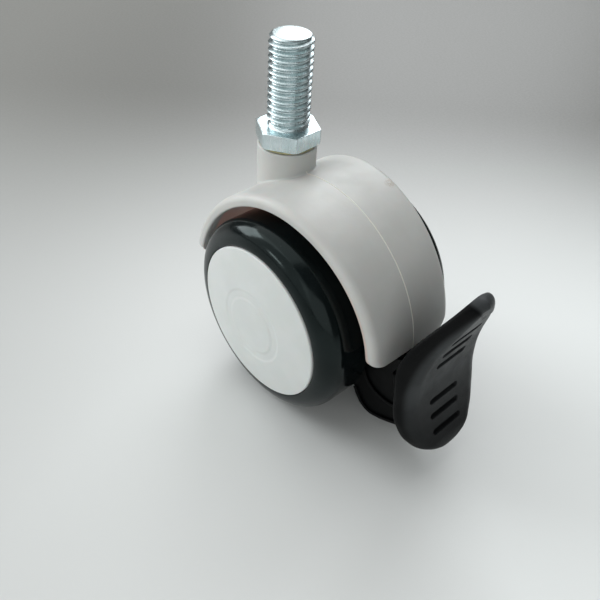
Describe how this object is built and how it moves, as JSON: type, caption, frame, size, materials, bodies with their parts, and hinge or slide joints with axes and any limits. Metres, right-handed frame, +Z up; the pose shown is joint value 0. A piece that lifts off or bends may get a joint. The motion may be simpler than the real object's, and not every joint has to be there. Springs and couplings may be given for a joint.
{
  "type": "swivel chair caster",
  "caption": "Twin-wheel swivel chair caster with a threaded stem, a moulded hood over black-tyred wheels, and a leaf-shaped rocker brake pedal.",
  "frame": {"origin": "on the floor midway between the two tyres, straight under the axle's centre", "axes": "+Z up along the stem, +X from the axle towards the brake pedal, +Y along the axle towards the right wheel"},
  "size_m": [0.0758, 0.0456, 0.0849],
  "materials": {
    "zinc_plate": "satin",
    "yellow_zinc": "satin",
    "spring_steel": "satin",
    "steel": "satin",
    "acetal": "satin",
    "hood_plastic": "satin",
    "core_plastic": "satin",
    "cap_plastic": "satin",
    "polyurethane": "gloss",
    "pedal_plastic": "matte",
    "shoe_rubber": "matte"
  },
  "bodies": {
    "stem": {"threaded_stem": "zinc_plate", "stem_washer": "yellow_zinc", "stem_retaining_ring": "spring_steel"},
    "fork": {"housing": "hood_plastic", "swivel_bush": "acetal", "axle": "steel", "left_axle_clip": "spring_steel", "right_axle_clip": "spring_steel", "left_spacer_washer": "acetal", "right_spacer_washer": "acetal", "pedal_pin": "steel", "detent_spring": "spring_steel"},
    "left_wheel": {"left_wheel_core": "core_plastic", "left_tyre": "polyurethane", "left_wheel_cap": "cap_plastic", "left_hub_bush": "acetal"},
    "right_wheel": {"right_wheel_core": "core_plastic", "right_tyre": "polyurethane", "right_wheel_cap": "cap_plastic", "right_hub_bush": "acetal"},
    "pedal": {"brake_pedal": "pedal_plastic", "brake_shoe": "shoe_rubber"}
  },
  "joints": [
    {"name": "swivel", "type": "hinge", "parent": "stem", "child": "fork", "pos_m": [-0.0145, 0, 0], "axis": [0, 0, 1], "continuous": true},
    {"name": "left_wheel_spin", "type": "hinge", "parent": "fork", "child": "left_wheel", "pos_m": [0, 0, 0.025], "axis": [0, 1, 0], "continuous": true},
    {"name": "right_wheel_spin", "type": "hinge", "parent": "fork", "child": "right_wheel", "pos_m": [0, 0, 0.025], "axis": [0, 1, 0], "continuous": true},
    {"name": "brake_rock", "type": "hinge", "parent": "fork", "child": "pedal", "pos_m": [0.015, 0, 0.015], "axis": [0, 1, 0], "range_deg": [0, 8]}
  ]
}
